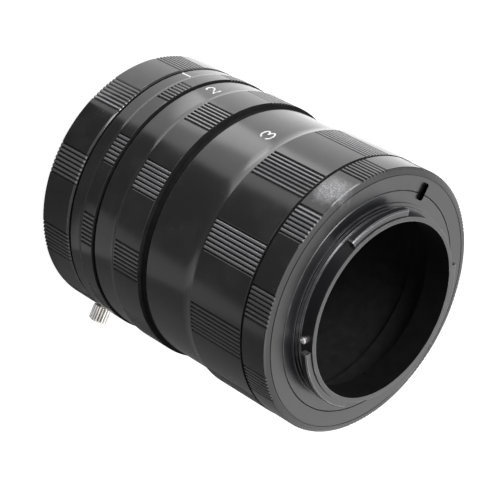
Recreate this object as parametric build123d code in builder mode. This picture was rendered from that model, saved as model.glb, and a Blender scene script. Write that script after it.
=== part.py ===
from build123d import *
from math import atan2, cos, degrees, radians, sin
import os

os.makedirs("parts", exist_ok=True)

# The bayonet's size class. Every radius below is set from it by a wall, a step or a clearance.
throat_radius = 22.05

# Lengths along the optical axis, from the lens side (z = 0) to the camera side
lens_ring_length = 9.75
tube_1_length = 8.5
tube_2_length = 17.2
tube_3_length = 31.5
camera_ring_length = 7.25
bayonet_height = 4.5

tube_1_rear = lens_ring_length
tube_2_rear = tube_1_rear + tube_1_length
tube_3_rear = tube_2_rear + tube_2_length
camera_ring_rear = tube_3_rear + tube_3_length
camera_flange = camera_ring_rear + camera_ring_length
bayonet_end = camera_flange + bayonet_height

# Female bayonet on the lens side
throat_gap_depth = 1.7
throat_gap_radius = throat_radius + throat_gap_depth
throat_lug_angle = 60.0
throat_lug_count = 3
throat_lug_first_angle = 15.0
lens_plate_width = 5.55
lens_plate_radius = throat_gap_radius + lens_plate_width
lens_plate_thickness = 2.0
lens_plate_clearance = 0.05
lug_chamber_step = 0.75
lug_chamber_radius = throat_gap_radius + lug_chamber_step
lens_web_step = 0.55
lens_web_radius = throat_radius + lens_web_step
lens_web_thickness = 1.15

# Outside of the end rings
rim_wall = 2.0
ring_edge_chamfer = 0.25
lens_ring_radius = lens_plate_radius + lens_plate_clearance + rim_wall
lens_ring_front_gap = 0.6
lens_ring_front_chamfer = 0.35
camera_ring_step = 0.15
camera_ring_radius = lens_ring_radius - camera_ring_step
flange_edge_width = 1.6
flange_edge_radius = camera_ring_radius - flange_edge_width
flange_edge_height = 0.45

# Screwed joint between two rings: a neck at the rear, a bore and a shoulder in front
tube_wall = 2.85
thread_bore_radius = lens_ring_radius - tube_wall
thread_clearance = 0.4
thread_length = 3.6
thread_runout = 0.4
neck_radius = thread_bore_radius - thread_clearance
neck_wall = 1.7
neck_bore_radius = neck_radius - neck_wall
thread_bore_depth = thread_length + thread_runout
tube_web_thickness = 2.0
shoulder_wall = 1.7
shoulder_radius = thread_bore_radius + shoulder_wall
lens_web_top = lens_ring_length - thread_bore_depth
lens_web_bottom = lens_web_top - lens_web_thickness

# Knurling: patches of straight axial grooves
patch_count = 10
grooves_per_patch = 8
groove_pitch_angle = 1.75
groove_width = 0.64
groove_depth = 0.38
groove_overcut = 0.2
knurl_margin = 0.3
lens_ring_knurl_angle = 9.5
camera_ring_knurl_angle = 22.0

# Outside of the tubes: a smooth part for the number, a ramp and a knurled band
tube_1_smooth_step = 0.15
tube_1_smooth_radius = lens_ring_radius - tube_1_smooth_step
tube_1_band_step = 0.25
tube_1_band_radius = tube_1_smooth_radius + tube_1_band_step
tube_1_band_start = 4.1
tube_1_ramp = 1.0
tube_1_front_gap = 0.55
tube_1_knurl_angle = -5.2
tube_2_smooth_step = 0.3
tube_2_smooth_radius = lens_ring_radius - tube_2_smooth_step
tube_2_band_step = 0.35
tube_2_band_radius = tube_2_smooth_radius + tube_2_band_step
tube_2_band_start = 7.0
tube_2_ramp = 1.6
tube_2_front_gap = 1.85
tube_2_knurl_angle = -1.2
tube_3_smooth_step = 0.8
tube_3_smooth_radius = lens_ring_radius - tube_3_smooth_step
tube_3_band_step = 0.75
tube_3_band_radius = tube_3_smooth_radius + tube_3_band_step
tube_3_band_start = 15.5
tube_3_ramp = 2.8
tube_3_front_gap = 0.3
tube_3_knurl_angle = 6.3

# Male bayonet on the camera side
collar_step = 0.3
collar_radius = throat_radius - collar_step
collar_wall = 1.1
collar_bore_radius = collar_radius - collar_wall
collar_foot_width = 1.55
collar_foot_radius = collar_radius + collar_foot_width
collar_foot_height = 1.1
bayonet_plate_width = 2.65
bayonet_plate_radius = collar_foot_radius + bayonet_plate_width
bayonet_plate_thickness = 2.2
bayonet_seam = 0.05
seam_chamfer = 0.15
male_lug_reach = 1.55
male_lug_radius = collar_radius + male_lug_reach
male_lug_thickness = 1.7
male_lug_setback = 0.35
male_lug_chamfer = 0.25
male_lug_root = 0.05
male_lug_middles = (-44.5, 73.0, 201.0)
male_lug_widths = (43.0, 58.0, 50.0)
camera_web_thickness = 1.4
camera_web_step = 1.65
camera_web_radius = collar_bore_radius + camera_web_step
camera_slot_angle = -84.0
camera_slot_offset = 0.6
camera_slot_middle_radius = bayonet_plate_radius + camera_slot_offset
camera_slot_length = 3.5
camera_slot_width = 1.7
camera_slot_depth = 2.0

# Fasteners
screw_hole_clearance = 0.05
drive_slot_width = 0.35
drive_slot_depth = 0.35
plate_screw_count = 4
plate_screw_first_angle = 53.0
plate_screw_head_radius = 1.35
plate_screw_head_height = 0.75
plate_screw_shank_radius = 0.7
plate_screw_length = 3.6
plate_screw_edge = 2.5
plate_screw_circle = lens_plate_radius - plate_screw_edge
camera_screw_count = 4
camera_screw_first_angle = 51.0
camera_screw_head_radius = 1.3
camera_screw_head_height = 0.9
camera_screw_shank_radius = 0.7
camera_screw_engagement = 1.4
camera_screw_edge = 1.75
camera_screw_circle = bayonet_plate_radius - camera_screw_edge

# Stop screw on the collar
stop_screw_angle = 37.5
stop_screw_height = 2.2
stop_screw_head_radius = 0.85
stop_screw_head_height = 0.9
stop_screw_shank_radius = 0.5
stop_screw_shank_length = 0.8
stop_screw_chamfer = 0.25

# Leaf springs behind the lens-side lugs
spring_count = 3
spring_first_angle = 40.0
spring_thickness = 0.25
spring_half_angle = 24.0
spring_foot_length = 3.4
spring_bow = 0.7
spring_free_end_gap = 0.05
spring_edge_gap = 0.3
spring_inner_radius = lens_web_radius + spring_edge_gap
spring_outer_radius = lug_chamber_radius - spring_edge_gap
spring_half_length = spring_inner_radius * sin(radians(spring_half_angle))
rivet_shank_radius = 0.4
rivet_head_radius = 0.6
rivet_head_height = 0.25

# Lens lock: a knob outside, a slider in a pocket of the ring and a pin through the plate
lock_angle = 99.0
lock_height = 2.9
lock_travel = 1.4
lock_pin_radius = 0.8
lock_pin_edge = 2.8
lock_pin_circle = lens_plate_radius - lock_pin_edge
lock_pin_reach = 1.1
lock_pin_chamfer = 0.3
lock_pin_clearance = 0.1
slider_inner_wall = 1.0
slider_inner_radius = lock_pin_circle - slider_inner_wall
slider_outer_step = 0.2
slider_outer_radius = lens_plate_radius - slider_outer_step
slider_half_width = 1.5
slider_thickness = 1.6
slider_side_clearance = 0.2
slider_end_clearance = 0.25
knob_radius = 2.3
knob_length = 3.45
knob_collar_radius = 1.3
knob_collar_length = 0.6
knob_stand_off = 0.3
knob_cap_height = 0.25
knob_cap_taper = 30
knob_groove_count = 18
knob_groove_depth = 0.3
stud_radius = 0.7
stud_clearance = 0.02
stud_engagement = 1.5
stud_slot_clearance = 0.15
lock_leaf_thickness = 0.2
lock_leaf_half_length = 1.4
lock_leaf_width = 1.6
lock_leaf_gap = 0.03

camera_plate_bottom = camera_flange - bayonet_plate_thickness
plate_screw_flare = plate_screw_head_radius - plate_screw_shank_radius
plate_screw_taper = degrees(atan2(plate_screw_flare, plate_screw_head_height))
slider_bottom = lock_height - slider_thickness / 2
slider_top = lock_height + slider_thickness / 2
pocket_top = slider_top + lock_travel + slider_end_clearance


def polar_plane(angle, radius, height):
    """A plane facing outwards at an angle, with x along the circle and y along the axis."""
    direction = Vector(cos(radians(angle)), sin(radians(angle)), 0)
    tangent = Vector(-sin(radians(angle)), cos(radians(angle)), 0)
    origin = direction * radius + Vector(0, 0, height)
    return Plane(origin=origin, x_dir=tangent, z_dir=direction)


def section_plane(angle):
    """A plane through the optical axis, with x outwards at an angle and y along the axis."""
    direction = Vector(cos(radians(angle)), sin(radians(angle)), 0)
    normal = Vector(sin(radians(angle)), -cos(radians(angle)), 0)
    return Plane(origin=(0, 0, 0), x_dir=direction, z_dir=normal)


def rivet_place(number):
    """The rivet's place in the foot of a leaf spring."""
    along = spring_foot_length / 2 - spring_half_length
    across = (spring_inner_radius + spring_outer_radius) / 2
    spring_angle = radians(spring_first_angle + 360 * number / spring_count)
    offset_angle = along / across
    return (across * cos(spring_angle + offset_angle), across * sin(spring_angle + offset_angle))


rivet_places = [rivet_place(number) for number in range(spring_count)]


def knurl_grooves(radius, low, middle_angle):
    """Patches of V grooves around a ring, as a sketch at a height."""
    patch_angle = (grooves_per_patch - 1) * groove_pitch_angle
    mouth_half_width = groove_width / 2 * (groove_depth + groove_overcut) / groove_depth
    with BuildSketch(Plane.XY.offset(low)) as grooves:
        with PolarLocations(0, patch_count, start_angle=middle_angle - patch_angle / 2):
            with PolarLocations(radius, grooves_per_patch, angular_range=patch_angle, endpoint=True):
                Polygon(
                    (-groove_depth, 0),
                    (groove_overcut, -mouth_half_width),
                    (groove_overcut, mouth_half_width),
                    align=None,
                )
    return grooves.sketch


def camera_slot():
    """The slot that takes the camera's lock pin, as a sketch on the flange."""
    with BuildSketch(Plane.XY.offset(camera_flange)) as slot:
        with PolarLocations(camera_slot_middle_radius, 1, start_angle=camera_slot_angle):
            SlotOverall(camera_slot_length, camera_slot_width)
    return slot.sketch


def make_tube(label, rear, length, smooth_radius, band_radius, band_start, ramp, front_gap, knurl_angle):
    """One extension tube: a threaded neck, a smooth part for its number and a knurled band."""
    front = rear + length
    band_front = front - front_gap
    hollow_bottom = rear + tube_web_thickness
    with BuildPart() as tube:
        with BuildSketch(Plane.XZ):
            with BuildLine():
                outside = Polyline(
                    (neck_bore_radius, rear - thread_length),
                    (neck_radius, rear - thread_length),
                    (neck_radius, rear),
                    (smooth_radius - ring_edge_chamfer, rear),
                    (smooth_radius, rear + ring_edge_chamfer),
                    (smooth_radius, rear + band_start - ramp),
                )
                TangentArc(outside @ 1, (band_radius, rear + band_start), tangent=(0, 1))
                Polyline(
                    (band_radius, rear + band_start),
                    (band_radius, band_front),
                    (shoulder_radius, band_front),
                    (shoulder_radius, front),
                    (thread_bore_radius, front),
                    (thread_bore_radius, hollow_bottom),
                    (neck_bore_radius, hollow_bottom),
                    (neck_bore_radius, rear - thread_length),
                )
            make_face()
        revolve(axis=Axis.Z)
        knurl_start = rear + band_start + knurl_margin
        grooves = knurl_grooves(band_radius, knurl_start, knurl_angle)
        extrude(grooves, amount=band_front - knurl_start, mode=Mode.SUBTRACT)
    tube.part.label = label
    export_step(tube.part, f"parts/{label}.step")
    return tube


# The lens side: the ring that carries the female bayonet and the lens lock
with BuildPart() as lens_ring:
    with BuildSketch(Plane.XZ):
        with BuildLine():
            Polyline(
                (lens_plate_radius + lens_plate_clearance, 0),
                (lens_ring_radius, 0),
                (lens_ring_radius, tube_1_rear - lens_ring_front_gap - lens_ring_front_chamfer),
                (lens_ring_radius - lens_ring_front_chamfer, tube_1_rear - lens_ring_front_gap),
                (shoulder_radius, tube_1_rear - lens_ring_front_gap),
                (shoulder_radius, tube_1_rear),
                (thread_bore_radius, tube_1_rear),
                (thread_bore_radius, lens_web_top),
                (lens_web_radius, lens_web_top),
                (lens_web_radius, lens_web_bottom),
                (lug_chamber_radius, lens_web_bottom),
                (lug_chamber_radius, lens_plate_thickness),
                (lens_plate_radius + lens_plate_clearance, lens_plate_thickness),
                close=True,
            )
        make_face()
    revolve(axis=Axis.Z)
    lens_ring_grooves = knurl_grooves(lens_ring_radius, 0, lens_ring_knurl_angle)
    extrude(lens_ring_grooves, amount=tube_1_rear, mode=Mode.SUBTRACT)
    # Pocket for the slider, under the plate
    with BuildSketch(polar_plane(lock_angle, slider_inner_radius - slider_end_clearance, 0)):
        with Locations((0, (lens_plate_thickness + pocket_top) / 2)):
            Rectangle(
                2 * (slider_half_width + slider_side_clearance),
                pocket_top - lens_plate_thickness,
            )
    extrude(
        amount=slider_outer_radius - slider_inner_radius + 2 * slider_end_clearance,
        mode=Mode.SUBTRACT,
    )
    # Slot through the wall for the knob's stud
    with BuildSketch(polar_plane(lock_angle, slider_outer_radius, 0)):
        with Locations((0, lock_height + lock_travel / 2)):
            SlotOverall(
                2 * (stud_radius + stud_slot_clearance) + lock_travel,
                2 * (stud_radius + stud_slot_clearance),
                rotation=90,
            )
    extrude(amount=lens_ring_radius - slider_outer_radius + groove_depth, mode=Mode.SUBTRACT)
    # Tapped holes for the plate screws and the rivets of the leaf springs
    with BuildSketch(Plane.XY.offset(lens_plate_thickness)):
        with PolarLocations(plate_screw_circle, plate_screw_count, start_angle=plate_screw_first_angle):
            Circle(plate_screw_shank_radius)
    extrude(amount=plate_screw_length - lens_plate_thickness, mode=Mode.SUBTRACT)
    with BuildSketch(Plane.XY.offset(lens_web_bottom)):
        with Locations(*rivet_places):
            Circle(rivet_shank_radius)
    extrude(amount=lens_web_thickness, mode=Mode.SUBTRACT)
lens_ring.part.label = "lens_ring"
export_step(lens_ring.part, "parts/lens_ring.step")


# Female bayonet plate with three inward lugs, screwed to the lens ring
with BuildPart() as lens_bayonet_plate:
    with BuildSketch(Plane.XY):
        Circle(lens_plate_radius)
        Circle(throat_gap_radius, mode=Mode.SUBTRACT)
    extrude(amount=lens_plate_thickness)
    for lug in range(throat_lug_count):
        lug_start = throat_lug_first_angle + 360 * lug / throat_lug_count - throat_lug_angle / 2
        with BuildSketch(section_plane(lug_start)):
            with BuildLine():
                Polyline(
                    (throat_gap_radius + lens_plate_clearance, 0),
                    (throat_radius, 0),
                    (throat_radius, lens_plate_thickness),
                    (throat_gap_radius + lens_plate_clearance, lens_plate_thickness),
                    close=True,
                )
            make_face()
        revolve(axis=Axis.Z, revolution_arc=throat_lug_angle)
    with BuildSketch(Plane.XY):
        with PolarLocations(plate_screw_circle, plate_screw_count, start_angle=plate_screw_first_angle):
            Circle(plate_screw_shank_radius + screw_hole_clearance)
        with PolarLocations(lock_pin_circle, 1, start_angle=lock_angle):
            Circle(lock_pin_radius + lock_pin_clearance)
    extrude(amount=lens_plate_thickness, mode=Mode.SUBTRACT)
    with BuildSketch(Plane.XY):
        with PolarLocations(plate_screw_circle, plate_screw_count, start_angle=plate_screw_first_angle):
            Circle(plate_screw_head_radius + screw_hole_clearance)
    extrude(amount=plate_screw_head_height, taper=plate_screw_taper, mode=Mode.SUBTRACT)
lens_bayonet_plate.part.label = "lens_bayonet_plate"
export_step(lens_bayonet_plate.part, "parts/lens_bayonet_plate.step")


# Four countersunk screws that hold the plate
with BuildPart() as plate_screws:
    with BuildSketch(Plane.XY):
        with PolarLocations(plate_screw_circle, plate_screw_count, start_angle=plate_screw_first_angle):
            Circle(plate_screw_head_radius)
    extrude(amount=plate_screw_head_height, taper=plate_screw_taper)
    with BuildSketch(Plane.XY):
        with PolarLocations(plate_screw_circle, plate_screw_count, start_angle=plate_screw_first_angle):
            Circle(plate_screw_shank_radius)
    extrude(amount=plate_screw_length)
    with BuildSketch(Plane.XY):
        with PolarLocations(plate_screw_circle, plate_screw_count, start_angle=plate_screw_first_angle):
            Rectangle(2 * plate_screw_shank_radius, drive_slot_width)
            Rectangle(drive_slot_width, 2 * plate_screw_shank_radius)
    extrude(amount=drive_slot_depth, mode=Mode.SUBTRACT)
plate_screws.part.label = "plate_screws"
export_step(plate_screws.part, "parts/plate_screws.step")


# Three leaf springs in the lug chamber, each riveted by one foot to the web
for number in range(spring_count):
    with BuildPart() as leaf_spring:
        with BuildSketch(polar_plane(spring_first_angle + 360 * number / spring_count, 0, lens_web_bottom)):
            with BuildLine():
                top_foot = Line((-spring_half_length, 0), (spring_foot_length - spring_half_length, 0))
                top_bow = ThreePointArc(
                    top_foot @ 1,
                    (spring_foot_length / 2, -spring_bow),
                    (spring_half_length, -spring_free_end_gap),
                )
                free_end = Line(top_bow @ 1, top_bow @ 1 + (0, -spring_thickness))
                under_bow = ThreePointArc(
                    free_end @ 1,
                    (spring_foot_length / 2, -spring_bow - spring_thickness),
                    (spring_foot_length - spring_half_length, -spring_thickness),
                )
                under_foot = Line(under_bow @ 1, (-spring_half_length, -spring_thickness))
                Line(under_foot @ 1, top_foot @ 0)
            make_face()
        extrude(amount=spring_outer_radius)
        with BuildSketch(Plane.XY.offset(lens_web_bottom)):
            Circle(spring_outer_radius)
            Circle(spring_inner_radius, mode=Mode.SUBTRACT)
        extrude(amount=-spring_bow - 2 * spring_thickness, mode=Mode.INTERSECT)
        with BuildSketch(Plane.XY.offset(lens_web_bottom)):
            with Locations(rivet_places[number]):
                Circle(rivet_shank_radius)
        extrude(amount=-spring_thickness, mode=Mode.SUBTRACT)
    leaf_spring.part.label = f"leaf_spring_{number + 1}"
    export_step(leaf_spring.part, f"parts/leaf_spring_{number + 1}.step")


# Rivets of the leaf springs
with BuildPart() as spring_rivets:
    with BuildSketch(Plane.XY.offset(lens_web_bottom - spring_thickness)):
        with Locations(*rivet_places):
            Circle(rivet_head_radius)
    extrude(amount=-rivet_head_height)
    with BuildSketch(Plane.XY.offset(lens_web_bottom - spring_thickness)):
        with Locations(*rivet_places):
            Circle(rivet_shank_radius)
    extrude(amount=spring_thickness + lens_web_thickness)
spring_rivets.part.label = "spring_rivets"
export_step(spring_rivets.part, "parts/spring_rivets.step")


# Slider of the lens lock
with BuildPart() as lock_slider:
    with BuildSketch(polar_plane(lock_angle, slider_inner_radius, lock_height)):
        Rectangle(2 * slider_half_width, slider_thickness)
    extrude(amount=slider_outer_radius - slider_inner_radius)
    with BuildSketch(Plane.XY.offset(slider_bottom)):
        with PolarLocations(lock_pin_circle, 1, start_angle=lock_angle):
            Circle(lock_pin_radius)
    extrude(amount=slider_thickness, mode=Mode.SUBTRACT)
    with BuildSketch(polar_plane(lock_angle, slider_outer_radius, lock_height)):
        Circle(stud_radius + stud_clearance)
    extrude(amount=-stud_engagement, mode=Mode.SUBTRACT)
lock_slider.part.label = "lock_slider"
export_step(lock_slider.part, "parts/lock_slider.step")


# Lock pin, pressed into the slider, with a chamfered tip below the lens face
with BuildPart() as lock_pin:
    with BuildSketch(Plane.XY.offset(-lock_pin_reach)):
        with PolarLocations(lock_pin_circle, 1, start_angle=lock_angle):
            Circle(lock_pin_radius)
    extrude(amount=lock_pin_reach + slider_top)
    chamfer(lock_pin.edges().group_by(Axis.Z)[0], length=lock_pin_chamfer)
lock_pin.part.label = "lock_pin"
export_step(lock_pin.part, "parts/lock_pin.step")


# Bowed leaf between the slider and the top of its pocket
with BuildPart() as lock_leaf:
    leaf_middle_radius = lock_pin_circle + lock_pin_radius + lock_leaf_width / 2
    with BuildSketch(polar_plane(lock_angle, leaf_middle_radius - lock_leaf_width / 2, 0)):
        with BuildLine():
            leaf_top = ThreePointArc(
                (-lock_leaf_half_length, pocket_top),
                (0, slider_top + lock_leaf_gap + lock_leaf_thickness),
                (lock_leaf_half_length, pocket_top),
            )
            leaf_side = Line(leaf_top @ 1, leaf_top @ 1 + (lock_leaf_thickness, 0))
            leaf_under = ThreePointArc(
                leaf_side @ 1,
                (0, slider_top + lock_leaf_gap),
                (-lock_leaf_half_length - lock_leaf_thickness, pocket_top),
            )
            Line(leaf_under @ 1, leaf_top @ 0)
        make_face()
    extrude(amount=lock_leaf_width)
lock_leaf.part.label = "lock_leaf"
export_step(lock_leaf.part, "parts/lock_leaf.step")


# Knurled knob with its collar and stud, turned in one piece
knob_foot_radius = lens_ring_radius + knob_stand_off
knob_base_radius = knob_foot_radius + knob_collar_length
with BuildPart() as lock_knob:
    with BuildSketch(polar_plane(lock_angle, knob_base_radius, lock_height)):
        Circle(knob_radius)
    extrude(amount=knob_length)
    with BuildSketch(polar_plane(lock_angle, knob_base_radius, lock_height)):
        with PolarLocations(knob_radius, knob_groove_count):
            RegularPolygon(knob_groove_depth, 4)
    extrude(amount=knob_length, mode=Mode.SUBTRACT)
    with BuildSketch(polar_plane(lock_angle, knob_base_radius + knob_length, lock_height)):
        Circle(knob_radius - knob_groove_depth)
    extrude(amount=knob_cap_height, taper=knob_cap_taper)
    with BuildSketch(polar_plane(lock_angle, knob_foot_radius, lock_height)):
        Circle(knob_collar_radius)
    extrude(amount=knob_collar_length)
    with BuildSketch(polar_plane(lock_angle, slider_outer_radius - stud_engagement, lock_height)):
        Circle(stud_radius)
    extrude(amount=knob_foot_radius - slider_outer_radius + stud_engagement)
lock_knob.part.label = "lock_knob"
export_step(lock_knob.part, "parts/lock_knob.step")


# The three extension tubes
tube_1 = make_tube(
    "tube_1",
    tube_1_rear,
    tube_1_length,
    tube_1_smooth_radius,
    tube_1_band_radius,
    tube_1_band_start,
    tube_1_ramp,
    tube_1_front_gap,
    tube_1_knurl_angle,
)
tube_2 = make_tube(
    "tube_2",
    tube_2_rear,
    tube_2_length,
    tube_2_smooth_radius,
    tube_2_band_radius,
    tube_2_band_start,
    tube_2_ramp,
    tube_2_front_gap,
    tube_2_knurl_angle,
)
tube_3 = make_tube(
    "tube_3",
    tube_3_rear,
    tube_3_length,
    tube_3_smooth_radius,
    tube_3_band_radius,
    tube_3_band_start,
    tube_3_ramp,
    tube_3_front_gap,
    tube_3_knurl_angle,
)


# The camera side: the ring that carries the male bayonet
with BuildPart() as camera_ring:
    with BuildSketch(Plane.XZ):
        with BuildLine():
            Polyline(
                (neck_bore_radius, camera_ring_rear - thread_length),
                (neck_radius, camera_ring_rear - thread_length),
                (neck_radius, camera_ring_rear),
                (camera_ring_radius - ring_edge_chamfer, camera_ring_rear),
                (camera_ring_radius, camera_ring_rear + ring_edge_chamfer),
                (camera_ring_radius, camera_flange - flange_edge_height),
                (flange_edge_radius, camera_flange),
                (bayonet_plate_radius + bayonet_seam + seam_chamfer, camera_flange),
                (bayonet_plate_radius + bayonet_seam, camera_flange - seam_chamfer),
                (bayonet_plate_radius + bayonet_seam, camera_plate_bottom),
                (camera_web_radius, camera_plate_bottom),
                (camera_web_radius, camera_plate_bottom - camera_web_thickness),
                (neck_bore_radius, camera_plate_bottom - camera_web_thickness),
                close=True,
            )
        make_face()
    revolve(axis=Axis.Z)
    camera_knurl_start = camera_ring_rear + knurl_margin
    camera_ring_grooves = knurl_grooves(camera_ring_radius, camera_knurl_start, camera_ring_knurl_angle)
    extrude(camera_ring_grooves, amount=camera_ring_length, mode=Mode.SUBTRACT)
    extrude(camera_slot(), amount=-camera_slot_depth, mode=Mode.SUBTRACT)
    with BuildSketch(Plane.XY.offset(camera_plate_bottom)):
        with PolarLocations(camera_screw_circle, camera_screw_count, start_angle=camera_screw_first_angle):
            Circle(camera_screw_shank_radius + screw_hole_clearance)
    extrude(amount=-camera_web_thickness, mode=Mode.SUBTRACT)
camera_ring.part.label = "camera_ring"
export_step(camera_ring.part, "parts/camera_ring.step")


# Male bayonet: a flush plate, a collar on a tapered foot and three outward lugs
with BuildPart() as camera_bayonet:
    with BuildSketch(Plane.XZ):
        with BuildLine():
            Polyline(
                (collar_bore_radius, camera_plate_bottom),
                (bayonet_plate_radius, camera_plate_bottom),
                (bayonet_plate_radius, camera_flange - seam_chamfer),
                (bayonet_plate_radius - seam_chamfer, camera_flange),
                (collar_foot_radius, camera_flange),
                (collar_radius, camera_flange + collar_foot_height),
                (collar_radius, bayonet_end),
                (collar_bore_radius, bayonet_end),
                close=True,
            )
        make_face()
    revolve(axis=Axis.Z)
    lug_top = bayonet_end - male_lug_setback
    for middle_angle, width_angle in zip(male_lug_middles, male_lug_widths):
        with BuildSketch(section_plane(middle_angle - width_angle / 2)):
            with BuildLine():
                Polyline(
                    (collar_radius - male_lug_root, lug_top - male_lug_thickness),
                    (male_lug_radius, lug_top - male_lug_thickness),
                    (male_lug_radius, lug_top - male_lug_chamfer),
                    (male_lug_radius - male_lug_chamfer, lug_top),
                    (collar_radius - male_lug_root, lug_top),
                    close=True,
                )
            make_face()
        revolve(axis=Axis.Z, revolution_arc=width_angle)
    extrude(camera_slot(), amount=-camera_slot_depth, mode=Mode.SUBTRACT)
    with BuildSketch(Plane.XY.offset(camera_plate_bottom)):
        with PolarLocations(camera_screw_circle, camera_screw_count, start_angle=camera_screw_first_angle):
            Circle(camera_screw_shank_radius)
    extrude(amount=camera_screw_engagement, mode=Mode.SUBTRACT)
    with BuildSketch(polar_plane(stop_screw_angle, collar_radius, camera_flange + stop_screw_height)):
        Circle(stop_screw_shank_radius)
    extrude(amount=-stop_screw_shank_length, mode=Mode.SUBTRACT)
camera_bayonet.part.label = "camera_bayonet"
export_step(camera_bayonet.part, "parts/camera_bayonet.step")


# Four screws that hold the male bayonet from behind
camera_screw_seat = camera_plate_bottom - camera_web_thickness
with BuildPart() as camera_screws:
    with BuildSketch(Plane.XY.offset(camera_screw_seat)):
        with PolarLocations(camera_screw_circle, camera_screw_count, start_angle=camera_screw_first_angle):
            Circle(camera_screw_head_radius)
    extrude(amount=-camera_screw_head_height)
    with BuildSketch(Plane.XY.offset(camera_screw_seat)):
        with PolarLocations(camera_screw_circle, camera_screw_count, start_angle=camera_screw_first_angle):
            Circle(camera_screw_shank_radius)
    extrude(amount=camera_web_thickness + camera_screw_engagement)
    with BuildSketch(Plane.XY.offset(camera_screw_seat - camera_screw_head_height)):
        with PolarLocations(camera_screw_circle, camera_screw_count, start_angle=camera_screw_first_angle):
            Rectangle(2 * camera_screw_shank_radius, drive_slot_width)
            Rectangle(drive_slot_width, 2 * camera_screw_shank_radius)
    extrude(amount=drive_slot_depth, mode=Mode.SUBTRACT)
camera_screws.part.label = "camera_screws"
export_step(camera_screws.part, "parts/camera_screws.step")


# Stop screw in the collar, beside a lug
stop_screw_axis_height = camera_flange + stop_screw_height
stop_screw_top = collar_radius + stop_screw_head_height
with BuildPart() as stop_screw:
    with BuildSketch(polar_plane(stop_screw_angle, collar_radius, stop_screw_axis_height)):
        Circle(stop_screw_head_radius)
    extrude(amount=stop_screw_head_height)
    head_rim = stop_screw.edges().sort_by_distance((0, 0, stop_screw_axis_height))[-1]
    chamfer(head_rim, length=stop_screw_chamfer)
    with BuildSketch(polar_plane(stop_screw_angle, collar_radius, stop_screw_axis_height)):
        Circle(stop_screw_shank_radius)
    extrude(amount=-stop_screw_shank_length)
    with BuildSketch(polar_plane(stop_screw_angle, stop_screw_top, stop_screw_axis_height)):
        Rectangle(2 * stop_screw_shank_radius, drive_slot_width)
        Rectangle(drive_slot_width, 2 * stop_screw_shank_radius)
    extrude(amount=-drive_slot_depth, mode=Mode.SUBTRACT)
stop_screw.part.label = "stop_screw"
export_step(stop_screw.part, "parts/stop_screw.step")
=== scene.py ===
import math

import bmesh
import bpy
from bpy.props import FloatProperty, FloatVectorProperty, IntProperty, PointerProperty
from mathutils import Matrix, Vector


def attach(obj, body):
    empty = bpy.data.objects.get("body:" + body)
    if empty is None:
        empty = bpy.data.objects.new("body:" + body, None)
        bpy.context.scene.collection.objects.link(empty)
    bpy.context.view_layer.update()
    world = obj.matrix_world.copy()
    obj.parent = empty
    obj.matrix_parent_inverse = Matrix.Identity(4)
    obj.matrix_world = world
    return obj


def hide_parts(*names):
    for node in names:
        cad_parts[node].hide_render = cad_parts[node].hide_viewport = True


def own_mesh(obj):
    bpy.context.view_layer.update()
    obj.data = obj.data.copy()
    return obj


bl_info = {
    "name": "Macro Extension Tube",
    "version": (1, 0, 0),
    "blender": (4, 5, 0),
    "location": "3D View > Sidebar > Extension Tube",
    "description": "Makes the fine rings, threads, numbers, finishes and stage of an extension tube",
    "category": "Object",
}

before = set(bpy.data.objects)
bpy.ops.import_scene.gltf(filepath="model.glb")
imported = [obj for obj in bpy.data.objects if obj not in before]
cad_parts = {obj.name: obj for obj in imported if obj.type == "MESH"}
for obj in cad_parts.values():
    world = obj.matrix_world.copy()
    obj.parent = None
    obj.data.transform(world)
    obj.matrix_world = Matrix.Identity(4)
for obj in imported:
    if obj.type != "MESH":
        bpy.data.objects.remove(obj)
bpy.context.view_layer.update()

MM = 0.001
PANEL_TITLE = "Extension Tube"

# Every size below is in millimetres and every angle in degrees, unless its comment says otherwise

# Planes along the optical axis, from the lens side
LENS_RING_TOP = 9.75
TUBE_1_TOP = 18.25
TUBE_2_TOP = 35.45
TUBE_3_TOP = 66.95
FLANGE = 74.2
BAYONET_END = 78.7
JOINT_PLANES = (LENS_RING_TOP, TUBE_1_TOP, TUBE_2_TOP, TUBE_3_TOP)

# How far before each joint plane the outside of its ring ends
FRONT_GAPS = (0.6, 0.55, 1.85, 0.3)

# The body that each ring rides on, from the lens side
BODIES = ("lens_side", "first_tube", "second_tube", "third_tube", "camera_side")

# What the rings share. A neck runs in the next ring's bore, and a lip ends it
NECK_RADIUS = 28.1
NECK_LENGTH = 3.95
NECK_LIP = 0.23
NECK_LIP_HEIGHT = 0.25
NECK_LIP_TAPER = 0.1
NECK_BORE = 26.4
THREAD_BORE = 28.5
SHOULDER = 30.2
EDGE_CHAMFER = 0.25
WEB = 2.0
KNURL_MARGIN = 0.3
KNURL_RUN_IN = 0.02

# Lens ring: outside, seat of the bayonet plate, chamber of the lugs, and web
LENS_RING_RADIUS = 31.35
LENS_RING_CHAMFER = 0.35
LENS_RING_PATCH = 9.5
PLATE_SEAT_RADIUS = 29.35
PLATE_SEAT = 2.0
CHAMBER_RADIUS = 24.5
LENS_WEB_RADIUS = 22.6
LENS_WEB_BOTTOM = 4.6
LENS_WEB_TOP = 5.75

# Tubes: outside of the smooth part and of the knurled band, the band's start above the joint
# plane, the length of the ramp before it, and the angle of one patch of grooves
TUBES = (
    {"smooth": 31.2, "band": 31.45, "band_start": 4.1, "ramp": 1.0, "patch": -5.2},
    {"smooth": 31.05, "band": 31.4, "band_start": 7.0, "ramp": 1.6, "patch": -1.2},
    {"smooth": 30.55, "band": 31.3, "band_start": 15.5, "ramp": 3.6, "patch": 6.3},
)

# Height and angle of the number on each tube
NUMBER_PLACES = ((11.5, -54.8), (21.15, -53.6), (44.75, -44.0))
PAINT_THICKNESS = 0.03
PAINT_SINK = 0.012

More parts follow.
